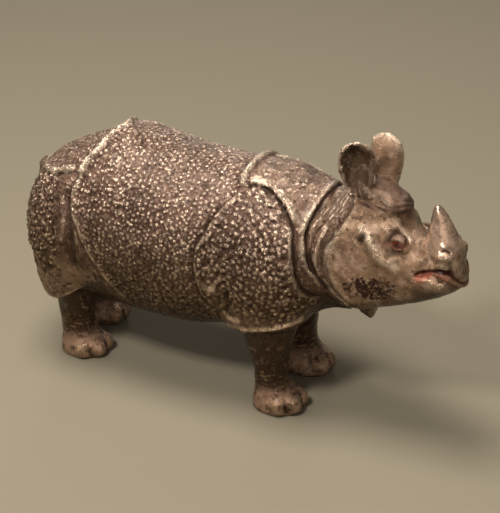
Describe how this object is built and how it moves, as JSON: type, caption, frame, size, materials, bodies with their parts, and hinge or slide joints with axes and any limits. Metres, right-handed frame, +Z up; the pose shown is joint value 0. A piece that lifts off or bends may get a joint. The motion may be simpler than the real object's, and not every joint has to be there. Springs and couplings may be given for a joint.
{
  "type": "rhinoceros figurine",
  "caption": "Cast metal rhinoceros standing on all fours with folded armour-like hide, upright ears and a single horn, for display.",
  "frame": {"origin": "under the middle of the figure's bounds, on the ground it stands on", "axes": "+X towards the head, +Y to the animal's left, +Z up"},
  "size_m": [0.1966, 0.065, 0.1214],
  "materials": {
    "painted_bronze": "satin"
  },
  "bodies": {
    "root": {"rhinoceros": "painted_bronze"}
  },
  "joints": []
}
